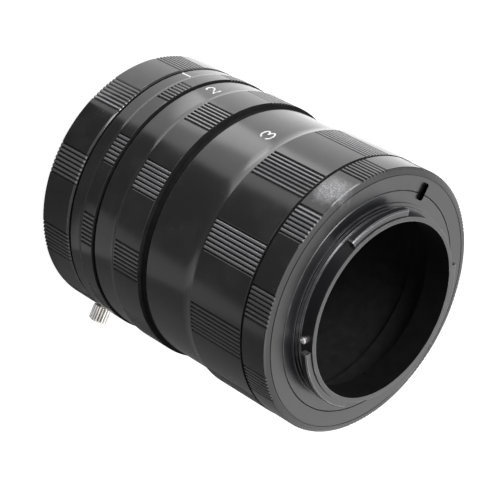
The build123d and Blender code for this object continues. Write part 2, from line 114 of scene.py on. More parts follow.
# Camera ring: outside, bevel round the flange (inward and upward in each of four steps), fine line
# turned into the flange (radius and depth), seat of the bayonet, and web
CAMERA_RING_RADIUS = 31.2
CAMERA_RING_PATCH = 22.0
BEVEL_HEIGHT = 0.45
BEVEL_STEP = (0.12, 0.034)
FLANGE_LINE = ((29.78, 0.05), (29.7, 0.17), (29.55, 0.17), (29.47, 0))
CAMERA_SEAT_RADIUS = 26.0
CAMERA_SEAT = 72.0
CAMERA_WEB_RADIUS = 22.3
CAMERA_WEB_BOTTOM = 70.6
SEAM_CHAMFER = 0.15

# Male bayonet: plate, collar, foot (radius, height above the flange and edge of each step), lugs
MALE_PLATE_RADIUS = 25.95
COLLAR_RADIUS = 21.75
COLLAR_BORE = 20.65
FOOT_STEPS = (
    (23.3, 0, 0.02),
    (23.25, 0.3, 0.06),
    (22.6, 0.36, 0.05),
    (22.55, 0.66, 0.06),
    (22.1, 0.7, 0.05),
    (COLLAR_RADIUS, 1.05, 0.1),
)
LUG_ROOT = 21.7
LUG_RADIUS = 23.3
LUG_CHAMFER = 0.25
LUG_THICKNESS = 1.7
LUG_SETBACK = 0.35

# Middle and width of each lug
LUGS = ((-44.5, 43.0), (73.0, 58.0), (201.0, 50.0))

# Slot for the camera's lock pin: length, width and depth
CAMERA_SLOT = (4.0, 1.35, 2.0)
CAMERA_SLOT_ANGLE = -84
CAMERA_SLOT_RADIUS = 26.55

# Lens lock: the slot for the knob's stud and the slider's pocket (length, width and depth each),
# and the knob's body (from and to along its axis) with its grooves (radii of floor and ridge)
LOCK_ANGLE = 99.0
LOCK_HEIGHT = 2.9
STUD_SLOT = (3.1, 1.7, 3.5)
STUD_SLOT_HEIGHT = 3.6
POCKET = (3.35, 3.4, 3.6)
POCKET_RADIUS = 28.85
POCKET_MIDDLE = 3.675
POCKET_TOP = 5.35
KNOB_BODY = (32.27, 35.66)
KNOB_GROOVES = (2.03, 2.26)

# Leaf that returns the lock
LEAF_RADII = (27.25, 28.85)
LEAF_HALF_LENGTH = 1.4
LEAF_THICKNESS = 0.2
LEAF_BOTTOM = 3.73

# Threads: radius, start before the joint plane, and half the width of the ridge. Then the points
# in one turn
BORE_THREAD = (THREAD_BORE, 3.4, 0.15)
NECK_THREAD = (NECK_RADIUS, 3.35, 0.2)
THREAD_STEPS = 110

# The finish of each solid
SOLID_FINISHES = {
    "satin_black": ("lens_bayonet_plate", "camera_bayonet"),
    "black_screw": ("plate_screws", "camera_screws"),
    "spring": ("leaf_spring_1", "leaf_spring_2", "leaf_spring_3", "lock_leaf"),
    "steel": ("spring_rivets", "lock_knob", "lock_slider", "lock_pin", "stop_screw"),
    "gloss_black": ("lens_ring", "camera_ring", "tube_1", "tube_2", "tube_3"),
}

# Around one groove the ring is sampled at six angles: lip, wall, floor, floor, wall, lip
SAMPLES_PER_GROOVE = 6

# Where a groove's wall bends, as shares of its half width and of its depth
WALL_PLACE = 0.5
WALL_DEPTH = 0.33

# Edges that turn by more than this, in radians, stay sharp
SHARP_EDGE = math.radians(32)

# Beside a rounded edge, points at this multiple of its size, but at most at this share of the
# side, keep its sides flat
HOLD_REACH = 1.6
HOLD_LIMIT = 0.45

# Points that are nearer than this are one, in a ring and in a cutting block
MERGE_DISTANCE = 0.002
DOUBLE_DISTANCE = 0.0001

# Keeps whole numbers whole when a quotient is rounded down
ROUNDING_GUARD = 0.0001

# Angle of one step round a lug, and the wear of its two ends, which also paints a glint on them
SECTOR_STEP = 1.5
SECTOR_END_WEAR_AND_GLINT = 0.7

# How far a cutting block stands out of the surface that it cuts
MOUTH_MARGIN = 0.5

# Bends of a number's stroke are widened as if their cosine were at least this
MITRE_LIMIT = 0.6

# The camera as the photograph's circles give it: place in metres and the directions of its axes
CAMERA_LENS = 140.0
CAMERA_PLACE = (0.34610, 0, 0.31500)
CAMERA_RIGHT = (-0.54961641, -0.48158828, 0.68263792)
CAMERA_UP = (0.29673838, -0.8763775, -0.37935315)
CAMERA_BACK = (0.78094054, -0.00593385, 0.62457718)

# Floor: level, half width in metres, and how bright the camera and reflections see it
FLOOR_LEVEL = -1.15
FLOOR_REACH = 3.0
FLOOR_GLOW_SEEN = 0.95
FLOOR_GLOW_MIRRORED = 0.05

# Strength of the white surround as light, and what is added where it is seen
SURROUND_LIGHT = 0.25
SURROUND_SEEN = 0.75

WHITE = (1, 1, 1, 1)

# The side where the light falls, so that the ridges get a painted highlight there: its middle, and how
# far from it the highlight is full and where it ends
LIT_SIDE_HIGHLIGHT = (-4, 11, 24)

# Radius, angle and height of the rough spot with its painted highlight, and of the bare edge beside it
SHEEN_SPOT_PLACE = (CAMERA_RING_RADIUS, -32, 70.6)
BARE_EDGE = (31.15, -34, 73.75)

# How bright the matt insides of the rings, with the painted shade in the joint gaps, and of the
# bayonet's bore are
INSIDE_AND_GAP_SHADE = 0.016
BORE_SHADE = 0.005


def length_setting(name, description, default):
    """A length that the user may change. Its default is in millimetres."""
    return FloatProperty(name=name, description=description, default=default * MM, unit="LENGTH")


def count_setting(name, description, default):
    """A whole number that the user may change."""
    return IntProperty(name=name, description=description, default=default, min=1)


def colour_setting(name, description, default):
    """A colour that the user may change."""
    opaque = (*default, 1)
    return FloatVectorProperty(
        name=name, description=description, subtype="COLOR", size=4, min=0, max=1, default=opaque
    )


class TubeSizes(bpy.types.PropertyGroup):
    """Sizes of the knurling, the threads and the numbers"""

    patches: count_setting("Patches", "Knurled patches round each ring", 10)
    grooves: count_setting("Grooves", "Grooves in one patch", 8)
    pitch: FloatProperty(
        name="Pitch",
        description="Angle from groove to groove",
        default=math.radians(1.86),
        subtype="ANGLE",
    )
    groove_width: length_setting("Groove Width", "Width of a groove at its mouth", 0.64)
    groove_depth: length_setting("Groove Depth", "Depth of a groove", 0.38)
    groove_edge: length_setting("Groove Edge", "Half the width of a groove's broken edge", 0.035)
    plain_steps: count_setting("Plain Steps", "Points round the ring between two patches", 9)
    thread_pitch: length_setting("Thread Pitch", "Rise of a thread in one turn", 0.75)
    thread_turns: FloatProperty(
        name="Thread Turns", description="Turns of a thread", default=3.8, min=0.5
    )
    digit_height: length_setting("Digit Height", "Height of the numbers", 2.9)
    digit_stroke: length_setting("Digit Stroke", "Width of a stroke of the numbers", 0.42)


class TubeFinish(bpy.types.PropertyGroup):
    """Colours of the tube's finishes and of the floor"""

    ring_colour: colour_setting("Rings", "Gloss black of the rings", (0.0066, 0.006, 0.0066))
    bayonet_colour: colour_setting("Bayonets", "Satin black of both bayonets", (0.010, 0.010, 0.0115))
    # The bare metal colour is also the colour of the painted highlights and glints
    bare_and_highlight_colour: colour_setting("Wear", "Bare metal of worn edges and scratches", (0.28, 0.28, 0.29))
    steel_colour: colour_setting("Steel", "Steel of the knob, pin and small screw", (0.82, 0.80, 0.77))
    paint_colour: colour_setting("Paint", "Paint of the numbers", (0.72, 0.73, 0.73))
    floor_colour: colour_setting("Floor", "Plain pale floor", (0.28, 0.28, 0.28))


def operator_method(operation, swapped=False):
    """A method for an operator of Wire, which adds the Math node that does its work."""

    def method(self, other):
        pair = [other, self] if swapped else [self, other]
        return self.tree.add("ShaderNodeMath", pair, operation=operation)

    return method


class Wire:
    """A socket in an expression."""

    def __init__(self, tree, socket):
        self.tree = tree
        self.socket = socket

    def math(self, operation, *others):
        """A Math node on this wire and others."""
        return self.tree.add("ShaderNodeMath", [self, *others], operation=operation)

    __add__ = __radd__ = operator_method("ADD")
    __mul__ = __rmul__ = operator_method("MULTIPLY")
    __sub__ = operator_method("SUBTRACT")
    __rsub__ = operator_method("SUBTRACT", swapped=True)
    __truediv__ = operator_method("DIVIDE")
    __rtruediv__ = operator_method("DIVIDE", swapped=True)
    __mod__ = operator_method("FLOORED_MODULO")
    __pow__ = operator_method("POWER")
    __lt__ = operator_method("LESS_THAN")
    __gt__ = operator_method("GREATER_THAN")

    def output(self, key):
        """Another output of the same node."""
        return Wire(self.tree, self.socket.node.outputs[key])

    def floor(self):
        """The whole part of a value."""
        return self.math("FLOOR")

    def clamp(self):
        """A value held between 0 and 1."""
        return self.tree.add("ShaderNodeClamp", [self, 0.0, 1.0])


class Tree:
    """A node tree under construction, for a material, the world or a modifier."""

    def __init__(self, node_tree):
        self.node_tree = node_tree
        node_tree.nodes.clear()

    def add(self, kind, inputs=(), out=0, **settings):
        """Adds a node: first its settings, then the values or links of its sockets."""
        node = self.node_tree.nodes.new(kind)
        for name, value in settings.items():
            setattr(node, name, value)
        pairs = inputs.items() if isinstance(inputs, dict) else enumerate(inputs)
        for key, value in pairs:
            if isinstance(value, Wire):
                self.node_tree.links.new(value.socket, node.inputs[key])
            elif value is not None:
                node.inputs[key].default_value = value
        return Wire(self, node.outputs[out]) if len(node.outputs) else node

    def place(self):
        """Object coordinates."""
        return self.add("ShaderNodeTexCoord", out=3)

    def attribute(self, name):
        """A value that the mesh carries under a name."""
        return self.add("ShaderNodeAttribute", out=2, attribute_name=name)

    def mix(self, factor, first, second):
        """A colour between two colours."""
        inputs = {0: factor, 6: first, 7: second}
        return self.add("ShaderNodeMix", inputs, out=2, data_type="RGBA")

    def noise(self, vector, scale, detail=2.0, roughness=0.5):
        """Even noise, whose scale is in waves to the metre."""
        inputs = {"Vector": vector, "Scale": scale, "Detail": detail, "Roughness": roughness}
        return self.add("ShaderNodeTexNoise", inputs)

    def band(self, value, low, high):
        """0 below low, 1 above high, and smooth between them."""
        inputs = {"Value": value, "From Min": low, "From Max": high}
        return self.add("ShaderNodeMapRange", inputs, interpolation_type="SMOOTHSTEP")


def new_material(name):
    """A material with an empty tree."""
    material = bpy.data.materials.new(name)
    material.use_nodes = True
    return material, Tree(material.node_tree)


def finished(material, tree, inputs, inside=None, shade=0):
    """Ends a material with one surface, or with two where some of it is matt inside black, which on the
    gloss black also paints the shade in the joint gaps.
    """
    shader = tree.add("ShaderNodeBsdfPrincipled", inputs)
    if inside is not None:
        shader = tree.add("ShaderNodeMixShader", [inside, shader, matt_inside_with_gap_shade(tree, shade)])
    tree.add("ShaderNodeOutputMaterial", [shader])
    return material


def darker(colour, share):
    """A share of a colour, still opaque."""
    return tuple(share * part for part in colour[:3]) + (1,)


def direction(angle):
    """The direction outwards at an angle round the optical axis."""
    return Vector((math.cos(math.radians(angle)), math.sin(math.radians(angle)), 0))


def ring_point(radius, angle, z):
    """A point at an angle round the optical axis, in metres."""
    turn = math.radians(angle)
    return (radius * MM * math.cos(turn), radius * MM * math.sin(turn), z * MM)


def vector_math(tree, operation, *vectors, out=0):
    """A Vector Math node. Its number, where it gives one, is output 1."""
    return tree.add("ShaderNodeVectorMath", vectors, out=out, operation=operation)


def turned_coordinates(tree):
    """Object coordinates, the distance from the optical axis and a vector that is even round it."""
    place = tree.place()
    x = tree.add("ShaderNodeSeparateXYZ", [place])
    y = x.output(1)
    z = x.output(2)
    radius = (x * x + y * y) ** 0.5
    along = tree.add("ShaderNodeCombineXYZ", [radius, 0.0, z])
    return place, radius, z, along


def matt_inside_with_gap_shade(tree, shade):
    """Flat black of every inner wall, which gives almost nothing back. On the gloss black it is also
    painted shade in the joint gaps.
    """
    uneven = tree.noise(tree.place(), 400.0, 3.0)
    colour = tree.mix(uneven, (0.5 * shade,) * 3 + (1,), (1.5 * shade,) * 3 + (1,))
    inputs = {"Base Color": colour, "Roughness": 0.9, "Specular IOR Level": 0.05}
    return tree.add("ShaderNodeBsdfPrincipled", inputs)


def gloss_black(black, bare):
    """Gloss black anodising: turning marks, faint dust, worn edges, a matt inside, painted highlights,
    painted shade.
    """
    material, tree = new_material("gloss_black_anodised")
    place, radius, z, along = turned_coordinates(tree)
    behind_flange = 1 - tree.band(z, (FLANGE - 0.8) * MM, (FLANGE - 0.6) * MM)
    outer = tree.band(radius, (NECK_RADIUS - 0.25) * MM, (NECK_RADIUS - 0.15) * MM)
    inside = behind_flange * (1 - outer)
    flange = z > (FLANGE - 0.3) * MM
    patchy = tree.noise(place, 500.0, 3.0)
    edge_wear = tree.attribute("edge") * (0.2 + 0.3 * tree.band(patchy, 0.5, 0.7))
    edge_wear = edge_wear.math("MAXIMUM", bare_edge(tree, place, radius, z))
    # Ridges have some real wear all round, and a painted highlight on the side where the light falls
    ridge_wear_and_highlight = tree.attribute("ridge") * (0.15 + 0.3 * patchy + 0.5 * lit_side_highlight(tree, place))
    wear = edge_wear.math("MAXIMUM", ridge_wear_and_highlight)
    # The rough spot is rougher and bumpy, and its lighter colour is a painted highlight
    rough_sheen_spot = rough_spot_with_sheen(tree, place)
    painted_spot_highlight = rough_sheen_spot * (0.42 + 0.6 * tree.band(tree.noise(place, 2900.0, 2.0), 0.46, 0.6))
    specks = tree.band(tree.noise(place, 3600.0, 1.0), 0.72, 0.77)
    specks = specks * tree.band(tree.noise(place, 220.0), 0.52, 0.7)
    smears = tree.noise(place, 110.0, 4.0, 0.6)
    haze = tree.band(smears, 0.45, 0.7)
    light = (wear + specks * 0.4 + painted_spot_highlight + haze * 0.03).clamp()
    marks = tree.noise(along, 9000.0, 1.0) * 0.0008 * MM
    waves = tree.noise(place, 55.0, 1.0) * 0.25 * MM
    height = marks + waves + rough_sheen_spot * tree.noise(place, 1600.0, 2.0) * 0.03 * MM
    bump = tree.add("ShaderNodeBump", {"Strength": 1.0, "Distance": 1.0, "Height": height})
    inputs = {
        "Base Color": tree.mix(light, tuple(black), tuple(bare)),
        "Metallic": wear,
        "Roughness": 0.14 + smears * 0.14 + rough_sheen_spot * 0.2 + flange * 0.14,
        "IOR": 1.5,
        "Normal": bump,
    }
    # On the joint gaps the matt black is painted shade; on the inside and on the bores it is the matt
    # inner finish
    dark = inside.math("MAXIMUM", painted_gap_shade(tree, z)).math("MAXIMUM", hollow_bores(tree, radius, z))
    return finished(material, tree, inputs, dark, INSIDE_AND_GAP_SHADE)


def hollow_bores(tree, radius, z):
    """1 on the wide bores between the necks, which show through the throat."""
    bores = 0
    for rear, top in zip(JOINT_PLANES, JOINT_PLANES[1:]):
        above_web = z > (rear + WEB - 0.1) * MM
        bores = above_web * (z < (top - NECK_LENGTH - 0.05) * MM) + bores
    return bores * (radius < (THREAD_BORE + 0.1) * MM)


def painted_gap_shade(tree, z):
    """1 in the narrow gaps before the joint planes, where no light reaches, so that the matt black
    there is painted shade.
    """
    gaps = 0
    for plane, gap in zip(JOINT_PLANES, FRONT_GAPS):
        begins = tree.band(z, (plane - gap - 0.05) * MM, (plane - gap - 0.02) * MM)
        gaps = begins * (z < (plane - 0.01) * MM) + gaps
    return gaps


def lit_side_highlight(tree, place):
    """1 along the side of the barrel where the light falls and the ridges get a painted highlight, and
    0 away from it.
    """
    middle, full, end = LIT_SIDE_HIGHLIGHT
    outward_unit = vector_math(tree, "NORMALIZE", vector_math(tree, "MULTIPLY", place, (1, 1, 0)))
    facing = vector_math(tree, "DOT_PRODUCT", outward_unit, tuple(direction(middle)), out=1)
    return tree.band(facing, math.cos(math.radians(end)), math.cos(math.radians(full)))


def bare_edge(tree, place, radius, z):
    """Nearly 1 on the camera ring's outer corner beside the rough spot, where the black is gone."""
    away = vector_math(tree, "DISTANCE", place, ring_point(*BARE_EDGE), out=1)
    ragged = tree.noise(place, 900.0, 2.0) * 2.0 * MM
    corner = (z > 73.6 * MM) * (radius > 31.0 * MM)
    return corner * (1 - tree.band(away + ragged, 4.0 * MM, 6.5 * MM)) * 0.95


def rough_spot_with_sheen(tree, place):
    """1 in the rough spot on the camera ring, between two patches of grooves, where a painted highlight
    lightens the colour.
    """
    away = vector_math(tree, "DISTANCE", place, ring_point(*SHEEN_SPOT_PLACE), out=1)
    ragged = tree.noise(place, 700.0, 3.0) * 3.0 * MM
    return 1 - tree.band(away + ragged, 2.8 * MM, 6.4 * MM)


def matt_black():
    """Flat black of slots and pockets, a little uneven."""
    material, tree = new_material("matt_black")
    uneven = tree.noise(tree.place(), 900.0, 3.0)
    inputs = {
        "Base Color": tree.mix(uneven, (0.004, 0.004, 0.0045, 1), (0.009, 0.009, 0.01, 1)),
        "Roughness": 0.6 + uneven * 0.3,
        "Specular IOR Level": 0.15,
    }
    return finished(material, tree, inputs)


def satin_black(black, bare):
    """Satin black of the bayonets, with worn edges, a painted glint on the lugs' edges, and a matt
    black bore.
    """
    material, tree = new_material("satin_black_anodised")
    place, radius, z, along = turned_coordinates(tree)
    bore = 1 - tree.band(radius, (COLLAR_BORE + 0.01) * MM, (COLLAR_BORE + 0.07) * MM)
    lug_bottom = BAYONET_END - LUG_SETBACK - LUG_THICKNESS - 0.05
    lug = (radius > (LUG_RADIUS - 0.4) * MM) * (z > lug_bottom * MM)
    patchy = tree.band(tree.noise(place, 400.0, 3.0), 0.45, 0.65)
    # The lugs' edges get wear and, on top of it, a painted glint
    rubbed_and_glint = tree.attribute("edge") * (0.15 + 0.3 * patchy + 0.55 * lug)
    marks = tree.noise(along, 7000.0, 2.0)
    bump = tree.add("ShaderNodeBump", {"Strength": 0.08, "Distance": 0.03 * MM, "Height": marks})
    inputs = {
        "Base Color": tree.mix(rubbed_and_glint.clamp(), tuple(black), tuple(bare)),
        "Metallic": rubbed_and_glint,
        "Roughness": 0.24 + tree.noise(place, 160.0, 4.0) * 0.14,
        "IOR": 1.5,
        "Normal": bump,
    }
    return finished(material, tree, inputs, bore, BORE_SHADE)


def groove_floor_darkening(tree, place):
    """1 at the floor of the knob's grooves, which are coloured darker, and 0 on its ridges."""
    axis = tuple(direction(LOCK_ANGLE))
    from_axis = vector_math(tree, "SUBTRACT", place, (0, 0, LOCK_HEIGHT * MM))
    along = vector_math(tree, "DOT_PRODUCT", from_axis, axis, out=1)
    crossed = vector_math(tree, "CROSS_PRODUCT", from_axis, axis)
    off_axis = vector_math(tree, "LENGTH", crossed, out=1)
    on_body = (along > KNOB_BODY[0] * MM) * (along < KNOB_BODY[1] * MM)
    return on_body * (1 - tree.band(off_axis, KNOB_GROOVES[0] * MM, KNOB_GROOVES[1] * MM))


def turned_steel(steel):
    """Bright turned steel with fine marks, faint stains and darker floors in the knob's grooves."""
    material, tree = new_material("turned_steel")
    place = tree.place()
    stains = tree.noise(place, 700.0, 3.0)
    stained = tree.mix(tree.band(stains, 0.3, 0.7), tuple(steel), darker(steel, 0.78))
    fine = tree.noise(place, 9000.0, 2.0)
    inputs = {
        # The floors of the knob's grooves are coloured dark brown
        "Base Color": tree.mix(groove_floor_darkening(tree, place) * 0.7, stained, (0.13, 0.115, 0.095, 1)),
        "Metallic": 1.0,
        "Roughness": 0.24 + stains * 0.14,
        "Normal": tree.add("ShaderNodeBump", {"Strength": 0.15, "Distance": 0.03 * MM, "Height": fine}),
    }
    return finished(material, tree, inputs)


def spring_strip(steel):
    """Rolled spring strip, a little darker than the turned steel."""
    material, tree = new_material("spring_strip")
    rolled = tree.noise(tree.place(), 3000.0, 2.0)
    inputs = {
        "Base Color": tree.mix(rolled, darker(steel, 0.45), darker(steel, 0.64)),
        "Metallic": 1.0,
        "Roughness": 0.3 + rolled * 0.15,
    }
    return finished(material, tree, inputs)


def black_oxide(bare):
    """Blackened screws with a little bare steel in places."""
    material, tree = new_material("black_oxide")
    worn = tree.band(tree.noise(tree.place(), 1800.0, 3.0), 0.56, 0.7) * 0.6
    inputs = {
        "Base Color": tree.mix(worn, (0.02, 0.02, 0.022, 1), tuple(bare)),
        "Metallic": 0.8,
        "Roughness": 0.34 + worn * 0.1,
    }
    return finished(material, tree, inputs)


def number_paint(paint):
    """White paint of the numbers, uneven over its surface."""
    material, tree = new_material("number_paint")
    uneven = tree.noise(tree.place(), 2600.0, 3.0)
    inputs = {
        "Base Color": tree.mix(tree.band(uneven, 0.4, 0.7), tuple(paint), darker(paint, 0.7)),
        "Roughness": 0.5 + uneven * 0.2,
    }
    return finished(material, tree, inputs)


FINISHES = {}


def finish(name):
    """A finish by name, made once from the scene's colours."""
    if not FINISHES:
        colours = bpy.context.scene.tube_finish
        FINISHES.update(
            gloss_black=gloss_black(colours.ring_colour, colours.bare_and_highlight_colour),
            satin_black=satin_black(colours.bayonet_colour, colours.bare_and_highlight_colour),
            steel=turned_steel(colours.steel_colour),
            spring=spring_strip(colours.steel_colour),
            black_screw=black_oxide(colours.bare_and_highlight_colour),
            paint=number_paint(colours.paint_colour),
            matt_black=matt_black(),
        )
    return FINISHES[name]


def link_object(name, data):
    """An object in the scene for a mesh, a lamp or a camera."""
    obj = bpy.data.objects.new(name, data)
    bpy.context.scene.collection.objects.link(obj)
    return obj


def rounded(corners):
    """A closed section. Each corner is (radius, height, edge, cut).

    An edge above 0 is rounded and wears; one below 0 is rounded and doesn't. A cut of 1 lets the
    knurling in.
    """
    points = []
    for index, (r, z, edge, cut) in enumerate(corners):
        if not edge:
            points.append((r, z, cut, 0.0))
            continue
        size = abs(edge)
        here = Vector((r, z))
        before = Vector(corners[index - 1][:2]) - here
        after = Vector(corners[(index + 1) % len(corners)][:2]) - here
        start = here + before.normalized() * size
        end = here + after.normalized() * size
        middle = here * 0.5 + (start + end) * 0.25
        lead = here + before.normalized() * min(size * HOLD_REACH, before.length * HOLD_LIMIT)
        trail = here + after.normalized() * min(size * HOLD_REACH, after.length * HOLD_LIMIT)
        for point, wear in ((lead, 0.0), (start, 0.6), (middle, 1.0), (end, 0.6), (trail, 0.0)):
            points.append((point.x, point.y, cut, wear if edge > 0 else 0.0))
    return points


def ramp_arc(low_radius, low_height, high_radius, high_height, steps=6):
    """Points on the concave ramp that leaves the smooth part along the axis."""
    rise = high_radius - low_radius
    run = high_height - low_height
    bend = (rise * rise + run * run) / (2 * rise)
    last = math.atan2(run, bend - rise)
    points = []
    for step in range(1, steps):
        angle = last * step / steps
        radius = low_radius + bend * (1 - math.cos(angle))
        points.append((radius, low_height + bend * math.sin(angle), 0, 0))
    return points


def section_mesh(name, points):
    """A loop of points for the ring's tree, each with its cut and its edge."""
    mesh = bpy.data.meshes.new(name)
    places = [(r * MM, 0, z * MM) for r, z, cut, edge in points]
    mesh.from_pydata(places, [(i, (i + 1) % len(places)) for i in range(len(places))], [])
    for label, column in (("cut", 2), ("edge", 3)):
        values = mesh.attributes.new(label, "FLOAT", "POINT")
        values.data.foreach_set("value", [point[column] for point in points])
    return mesh


def new_modifier_tree(name, counts, measures):
    """A geometry tree with named inputs: whole counts, measures and a finish.

    Returns the group, the tree and a wire for each input.
    """
    kinds = {"Geometry": "NodeSocketGeometry"}
    kinds.update(dict.fromkeys(counts, "NodeSocketInt"))
    kinds.update(dict.fromkeys(measures, "NodeSocketFloat"))
    kinds["Finish"] = "NodeSocketMaterial"
    group = bpy.data.node_groups.new(name, "GeometryNodeTree")
    group.interface.new_socket("Geometry", in_out="OUTPUT", socket_type="NodeSocketGeometry")
    for label, kind in kinds.items():
        group.interface.new_socket(label, in_out="INPUT", socket_type=kind)
    tree = Tree(group)
    start = tree.add("NodeGroupInput")
    wires = {socket.name: Wire(tree, socket) for socket in start.socket.node.outputs if socket.name}
    return group, tree, wires


def end_modifier_tree(tree, geometry, material):
    """Ends a geometry tree with a real mesh in one material."""
    real = tree.add("GeometryNodeRealizeInstances", [geometry])
    painted = tree.add("GeometryNodeSetMaterial", {"Geometry": real, "Material": material})
    tree.add("NodeGroupOutput", [painted])


def sampled(tree, section, row, value, kind="FLOAT"):
    """A value at the section's point of this row."""
    inputs = {"Geometry": section, "Index": row, "Value": value}
    return tree.add("GeometryNodeSampleIndex", inputs, data_type=kind, domain="POINT")


def named_value(tree, name):
    """A value that the section's points carry under a name."""
    return tree.add("GeometryNodeInputNamedAttribute", {"Name": name}, data_type="FLOAT")


def stored(tree, geometry, name, value):
    """The mesh with a value kept on its points under a name."""
    inputs = {"Geometry": geometry, "Name": name, "Value": value}
    return tree.add("GeometryNodeStoreNamedAttribute", inputs, data_type="FLOAT", domain="POINT")


def groove_layout(wires, column):
    """Lays the grid's columns round the ring, patch by patch.

    A patch is a run of grooves, and some plain columns part it from the next. Returns each column's
    angle, its depth in a groove, 1 where it is in a groove, and 1 on the ridges between two grooves.
    """
    grooves = wires["Grooves"]
    plain = wires["Plain Steps"]
    pitch = wires["Pitch"]
    grooved = grooves * SAMPLES_PER_GROOVE
    per_patch = grooved + plain
    patch = (column / per_patch + ROUNDING_GUARD).floor()
    within = column - patch * per_patch
    in_groove = within < (grooved - 0.5)
    groove = (within / SAMPLES_PER_GROOVE + ROUNDING_GUARD).floor()
    sample = within - groove * SAMPLES_PER_GROOVE
    side = (sample > 2.5) * 2 - 1
    depth_step = 2.5 - (sample - 2.5).math("ABSOLUTE")
    at_lip = depth_step < 0.5
    at_floor = depth_step > 1.5
    at_wall = 1 - at_lip - at_floor
    half_width = wires["Groove Width"] / 2
    lip = wires["Groove Edge"]
    offset = at_lip * (half_width + lip) + at_wall * half_width * WALL_PLACE + at_floor * lip
    depth = wires["Groove Depth"] * (at_wall * WALL_DEPTH + at_floor * (1 - lip / half_width))
    groove_angle = (groove - (grooves - 1) / 2) * pitch + side * offset / wires["Radius"]
    last_angle = (grooves - 1) / 2 * pitch + (half_width + lip) / wires["Radius"]
    patch_angle = 2 * math.pi / wires["Patches"]
    share = (within - grooved + 1) / (plain + 1)
    plain_angle = last_angle + share * (patch_angle - last_angle * 2)
    in_patch = in_groove * groove_angle + (1 - in_groove) * plain_angle
    angle = wires["Middle"] + patch * patch_angle + in_patch
    ridge = at_lip * (within > 0.5) * (within < (grooved - 1.5))
    return angle, depth, in_groove, ridge


def knurled_ring_tree():
    """Turns a section round the optical axis and cuts patches of V grooves into it."""
    counts = ("Patches", "Grooves", "Plain Steps")
    measures = ("Pitch", "Middle", "Radius", "Groove Width", "Groove Depth", "Groove Edge")
    group, tree, wires = new_modifier_tree("knurled_ring", counts, measures)
    section = wires["Geometry"]
    around = wires["Patches"] * (wires["Grooves"] * SAMPLES_PER_GROOVE + wires["Plain Steps"])
    height = tree.add("GeometryNodeAttributeDomainSize", [section], component="MESH")
    grid = tree.add("GeometryNodeMeshGrid", [around, height, around + 1, height + 1])
    x = tree.add("ShaderNodeSeparateXYZ", [tree.add("GeometryNodeInputPosition")])
    column = (x + around / 2 + 0.5).floor()
    row = (x.output(1) + height / 2 + 0.5).floor() % height
    angle, depth, in_groove, ridge = groove_layout(wires, column)
    # The section's point for this row, held back to the groove's wall where it is cut
    point = sampled(tree, section, row, tree.add("GeometryNodeInputPosition"), "FLOAT_VECTOR")
    cut = sampled(tree, section, row, named_value(tree, "cut")) * in_groove
    edge = sampled(tree, section, row, named_value(tree, "edge"))
    plain_radius = tree.add("ShaderNodeSeparateXYZ", [point])
    wall = plain_radius.math("MINIMUM", wires["Radius"] - depth)
    radius = cut * wall + (1 - cut) * plain_radius
    across = [radius * angle.math("COSINE"), radius * angle.math("SINE")]
    place = tree.add("ShaderNodeCombineXYZ", [*across, plain_radius.output(2)])
    ridged = stored(tree, stored(tree, grid, "edge", edge), "ridge", cut * ridge)
    turned = tree.add("GeometryNodeSetPosition", {"Geometry": ridged, "Position": place})
    joined_inputs = {"Geometry": turned, "Distance": MERGE_DISTANCE * MM}
    joined = tree.add("GeometryNodeMergeByDistance", joined_inputs)
    smooth_inputs = {"Geometry": joined, "Shade Smooth": True}
    smooth = tree.add("GeometryNodeSetShadeSmooth", smooth_inputs, domain="FACE")
    sharp = tree.add("GeometryNodeInputMeshEdgeAngle") > SHARP_EDGE
    creased_inputs = {"Geometry": smooth, "Selection": sharp, "Shade Smooth": False}
    creased = tree.add("GeometryNodeSetShadeSmooth", creased_inputs, domain="EDGE")
    end_modifier_tree(tree, creased, wires["Finish"])
    return group


def thread_tree():
    """A helical ridge of diamond section about the optical axis."""
    measures = ("Radius", "Start", "Pitch", "Turns", "Ridge")
    group, tree, wires = new_modifier_tree("thread_ridge", (), measures)
    spiral_inputs = {
        "Resolution": THREAD_STEPS,
        "Rotations": wires["Turns"],
        "Start Radius": wires["Radius"],
        "End Radius": wires["Radius"],
        "Height": wires["Turns"] * wires["Pitch"],
    }
    spiral = tree.add("GeometryNodeCurveSpiral", spiral_inputs)
    lift = tree.add("ShaderNodeCombineXYZ", [0.0, 0.0, wires["Start"]])
    raised = tree.add("GeometryNodeTransform", {"Geometry": spiral, "Translation": lift})
    upright = tree.add("GeometryNodeSetCurveNormal", [raised])
    diamond = tree.add("GeometryNodeCurvePrimitiveCircle", {"Resolution": 4, "Radius": wires["Ridge"]})
    ridge_inputs = {"Curve": upright, "Profile Curve": diamond, "Fill Caps": True}
    ridge = tree.add("GeometryNodeCurveToMesh", ridge_inputs)
    end_modifier_tree(tree, ridge, wires["Finish"])
    return group


def grown(name, mesh, group, values):
    """Runs a tree on a mesh and returns the result as a plain object."""
    source = link_object(name + "_source", mesh)
    modifier = source.modifiers.new("grow", "NODES")
    modifier.node_group = group
    inputs = [item for item in group.interface.items_tree if item.in_out == "INPUT"]
    identifiers = {item.name: item.identifier for item in inputs}
    for label, value in values.items():
        modifier[identifiers[label]] = value
    result = evaluated_mesh(source)
    bpy.data.objects.remove(source)
    result.name = name
    return link_object(name, outward(result))


def evaluated_mesh(obj):
    """A plain mesh of what an object's modifiers make of it."""
    depsgraph = bpy.context.evaluated_depsgraph_get()
    depsgraph.update()
    mesh = bpy.data.meshes.new_from_object(obj.evaluated_get(depsgraph), depsgraph=depsgraph)
    if not mesh.polygons:
        raise RuntimeError(obj.name + " came out empty")
    return mesh


def outward(mesh):
    """Turns the faces of a closed mesh outwards."""
    work = bmesh.new()
    work.from_mesh(mesh)
    bmesh.ops.recalc_face_normals(work, faces=work.faces)
    if work.calc_volume(signed=True) < 0:
        bmesh.ops.reverse_faces(work, faces=work.faces)
    work.to_mesh(mesh)
    work.free()
    return mesh


